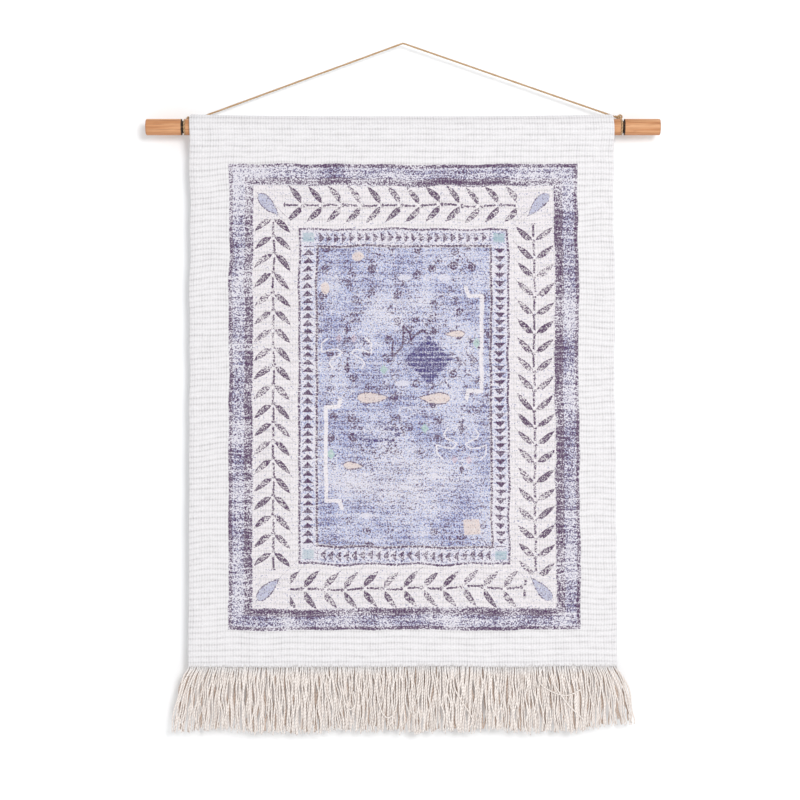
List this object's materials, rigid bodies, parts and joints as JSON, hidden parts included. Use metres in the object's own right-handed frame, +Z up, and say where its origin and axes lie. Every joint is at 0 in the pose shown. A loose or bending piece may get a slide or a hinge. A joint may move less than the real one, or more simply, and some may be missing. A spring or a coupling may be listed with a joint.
{
  "type": "tapestry wall hanging",
  "caption": "Printed woven tapestry with a fringed lower edge, hung from a grooved wooden dowel by a knotted twine cord.",
  "frame": {"origin": "underside of the hanging cord at its highest point, where the nail carries it", "axes": "+X along the dowel to the viewer's right, +Y into the wall, away from the printed face, +Z up"},
  "size_m": [0.508, 0.0263, 0.6855],
  "materials": {
    "dowel_wood": "bare sanded softwood, burnt dark in the grooves",
    "printed_cloth": "heavy ribbed cotton weave with a faded, worn print",
    "sewing_thread": "matte cotton thread",
    "fringe_yarn": "loose undyed cotton yarn",
    "cord_twine": "rough twisted natural twine"
  },
  "bodies": {
    "cord": {"hanging_cord": "cord_twine", "left_cord_turn": "cord_twine", "right_cord_turn": "cord_twine", "left_knot": "cord_twine", "right_knot": "cord_twine"},
    "dowel": {"dowel": "dowel_wood"},
    "cloth": {"tapestry_cloth": "printed_cloth", "pocket_seam_thread": "sewing_thread", "stay_stitch_thread": "sewing_thread", "left_hem_thread": "sewing_thread", "right_hem_thread": "sewing_thread"},
    "fringe": {"fringe_bunch_01": "fringe_yarn", "fringe_bunch_02": "fringe_yarn", "fringe_bunch_03": "fringe_yarn", "fringe_bunch_04": "fringe_yarn", "fringe_bunch_05": "fringe_yarn", "fringe_bunch_06": "fringe_yarn", "fringe_bunch_07": "fringe_yarn", "fringe_bunch_08": "fringe_yarn", "fringe_bunch_09": "fringe_yarn", "fringe_bunch_10": "fringe_yarn", "fringe_bunch_11": "fringe_yarn", "fringe_bunch_12": "fringe_yarn", "fringe_bunch_13": "fringe_yarn", "fringe_bunch_14": "fringe_yarn", "fringe_bunch_15": "fringe_yarn", "fringe_bunch_16": "fringe_yarn", "fringe_bunch_17": "fringe_yarn", "fringe_bunch_18": "fringe_yarn", "fringe_bunch_19": "fringe_yarn", "fringe_bunch_20": "fringe_yarn", "fringe_bunch_21": "fringe_yarn", "fringe_bunch_22": "fringe_yarn", "fringe_bunch_23": "fringe_yarn", "fringe_bunch_24": "fringe_yarn", "fringe_bunch_25": "fringe_yarn", "fringe_bunch_26": "fringe_yarn", "fringe_bunch_27": "fringe_yarn", "fringe_bunch_28": "fringe_yarn"}
  },
  "joints": [
    {"name": "dowel_roll", "type": "hinge", "parent": "cord", "child": "dowel", "pos_m": [0, -0.0076, -0.083], "axis": [1, 0, 0], "continuous": true},
    {"name": "cloth_swing", "type": "hinge", "parent": "cord", "child": "cloth", "pos_m": [0, -0.0076, -0.083], "axis": [1, 0, 0], "range_deg": [-75, 1]},
    {"name": "fringe_swing", "type": "hinge", "parent": "cloth", "child": "fringe", "pos_m": [0, -0.0076, -0.6168], "axis": [1, 0, 0], "range_deg": [-60, 60]}
  ]
}
